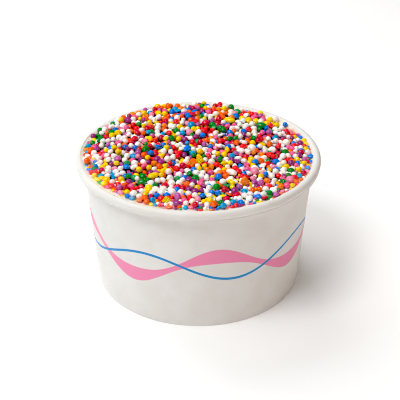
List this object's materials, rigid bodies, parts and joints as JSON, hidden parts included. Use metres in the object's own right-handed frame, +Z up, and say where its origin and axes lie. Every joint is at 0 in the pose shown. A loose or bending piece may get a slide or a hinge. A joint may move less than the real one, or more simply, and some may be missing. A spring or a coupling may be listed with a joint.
{
  "type": "frozen yogurt cup",
  "caption": "Tapered paper cup with a rolled rim and recessed base, filled to the brim with frozen yogurt under a heap of round coloured sugar sprinkles.",
  "frame": {"origin": "middle of the ring the cup stands on, at table height", "axes": "+Z up along the cup's axis; -Y is the front, +X is to the right seen from the front"},
  "size_m": [0.087, 0.087, 0.0527],
  "materials": {
    "cup_board": "smooth coated board with a soft sheen",
    "yogurt": "soft, moist and creamy",
    "nonpareils": "hard sugar beads of mixed colours with a soft gloss"
  },
  "bodies": {
    "root": {"cup_wall": "cup_board", "cup_base": "cup_board", "frozen_yogurt": "yogurt"}
  },
  "joints": []
}
